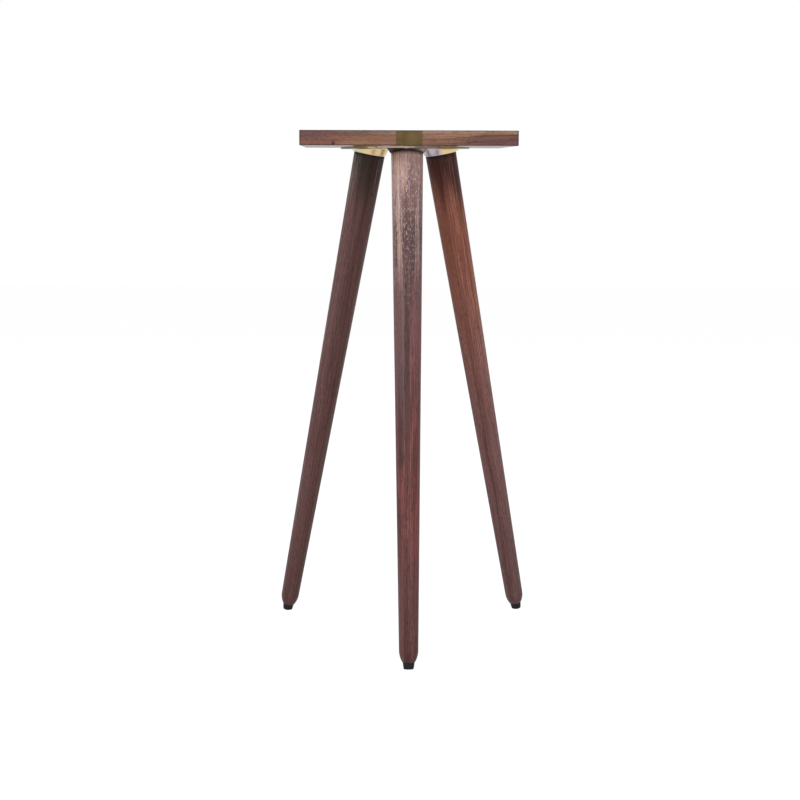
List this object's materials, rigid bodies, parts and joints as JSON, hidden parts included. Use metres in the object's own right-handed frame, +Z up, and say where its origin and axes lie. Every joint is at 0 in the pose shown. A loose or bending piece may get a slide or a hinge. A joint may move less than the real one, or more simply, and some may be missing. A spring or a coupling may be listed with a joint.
{
  "type": "speaker stand",
  "caption": "Wooden speaker stand: a square top board on splayed, tapered round legs that screw into angled steel brackets and stand on rubber feet.",
  "frame": {"origin": "on the floor, under the middle of the whole stand's bounding box; the centre of the top board is 28.5 mm behind it", "axes": "+Z up; -Y is the front, with the single leg and the name plate; +X is to the right when the front is looked at"},
  "size_m": [0.3224, 0.3114, 0.628],
  "materials": {
    "walnut": "oiled walnut, satin, open grain",
    "brass": "aged brass sheet, satin",
    "zinc_steel": "pressed steel, yellow-passivated zinc",
    "zinc_nut": "yellow-passivated zinc",
    "screw_steel": "yellow-passivated zinc",
    "bolt_steel": "bright zinc",
    "washer_steel": "stainless steel",
    "rubber": "moulded black rubber"
  },
  "bodies": {
    "top": {"top_board": "walnut", "name_plate": "brass", "bracket_front": "zinc_steel", "bracket_left": "zinc_steel", "bracket_right": "zinc_steel", "weld_nut_front": "zinc_nut", "weld_nut_left": "zinc_nut", "weld_nut_right": "zinc_nut", "bracket_screw_front_1": "screw_steel", "bracket_screw_front_2": "screw_steel", "bracket_screw_front_3": "screw_steel", "bracket_screw_front_4": "screw_steel", "bracket_screw_left_1": "screw_steel", "bracket_screw_left_2": "screw_steel", "bracket_screw_left_3": "screw_steel", "bracket_screw_left_4": "screw_steel", "bracket_screw_right_1": "screw_steel", "bracket_screw_right_2": "screw_steel", "bracket_screw_right_3": "screw_steel", "bracket_screw_right_4": "screw_steel"},
    "bolt_front": {"hanger_bolt_front": "bolt_steel"},
    "leg_front": {"leg_front": "walnut", "foot_front": "rubber", "foot_washer_front": "washer_steel", "foot_screw_front": "screw_steel"},
    "bolt_left": {"hanger_bolt_left": "bolt_steel"},
    "leg_left": {"leg_left": "walnut", "foot_left": "rubber", "foot_washer_left": "washer_steel", "foot_screw_left": "screw_steel"},
    "bolt_right": {"hanger_bolt_right": "bolt_steel"},
    "leg_right": {"leg_right": "walnut", "foot_right": "rubber", "foot_washer_right": "washer_steel", "foot_screw_right": "screw_steel"}
  },
  "joints": [
    {"name": "front_leg_travel", "type": "slide", "parent": "top", "child": "bolt_front", "axis": [0, -0.2045, -0.9789], "range_m": [0, 0.005]},
    {"name": "front_leg_turn", "type": "hinge", "parent": "bolt_front", "child": "leg_front", "pos_m": [0, -0.02293, 0.60223], "axis": [0, -0.2045, -0.9789], "range_deg": [0, 1440]},
    {"name": "left_leg_travel", "type": "slide", "parent": "top", "child": "bolt_left", "axis": [-0.1771, 0.1022, -0.9789], "range_m": [0, 0.005]},
    {"name": "left_leg_turn", "type": "hinge", "parent": "bolt_left", "child": "leg_left", "pos_m": [-0.0445, 0.05415, 0.60223], "axis": [-0.1771, 0.1022, -0.9789], "range_deg": [0, 1440]},
    {"name": "right_leg_travel", "type": "slide", "parent": "top", "child": "bolt_right", "axis": [0.1771, 0.1022, -0.9789], "range_m": [0, 0.005]},
    {"name": "right_leg_turn", "type": "hinge", "parent": "bolt_right", "child": "leg_right", "pos_m": [0.0445, 0.05415, 0.60223], "axis": [0.1771, 0.1022, -0.9789], "range_deg": [0, 1440]}
  ],
  "couplings": [
    {"joint": "front_leg_turn", "follows": "front_leg_travel", "rad_per_m": 5026.5},
    {"joint": "left_leg_turn", "follows": "left_leg_travel", "rad_per_m": 5026.5},
    {"joint": "right_leg_turn", "follows": "right_leg_travel", "rad_per_m": 5026.5}
  ]
}
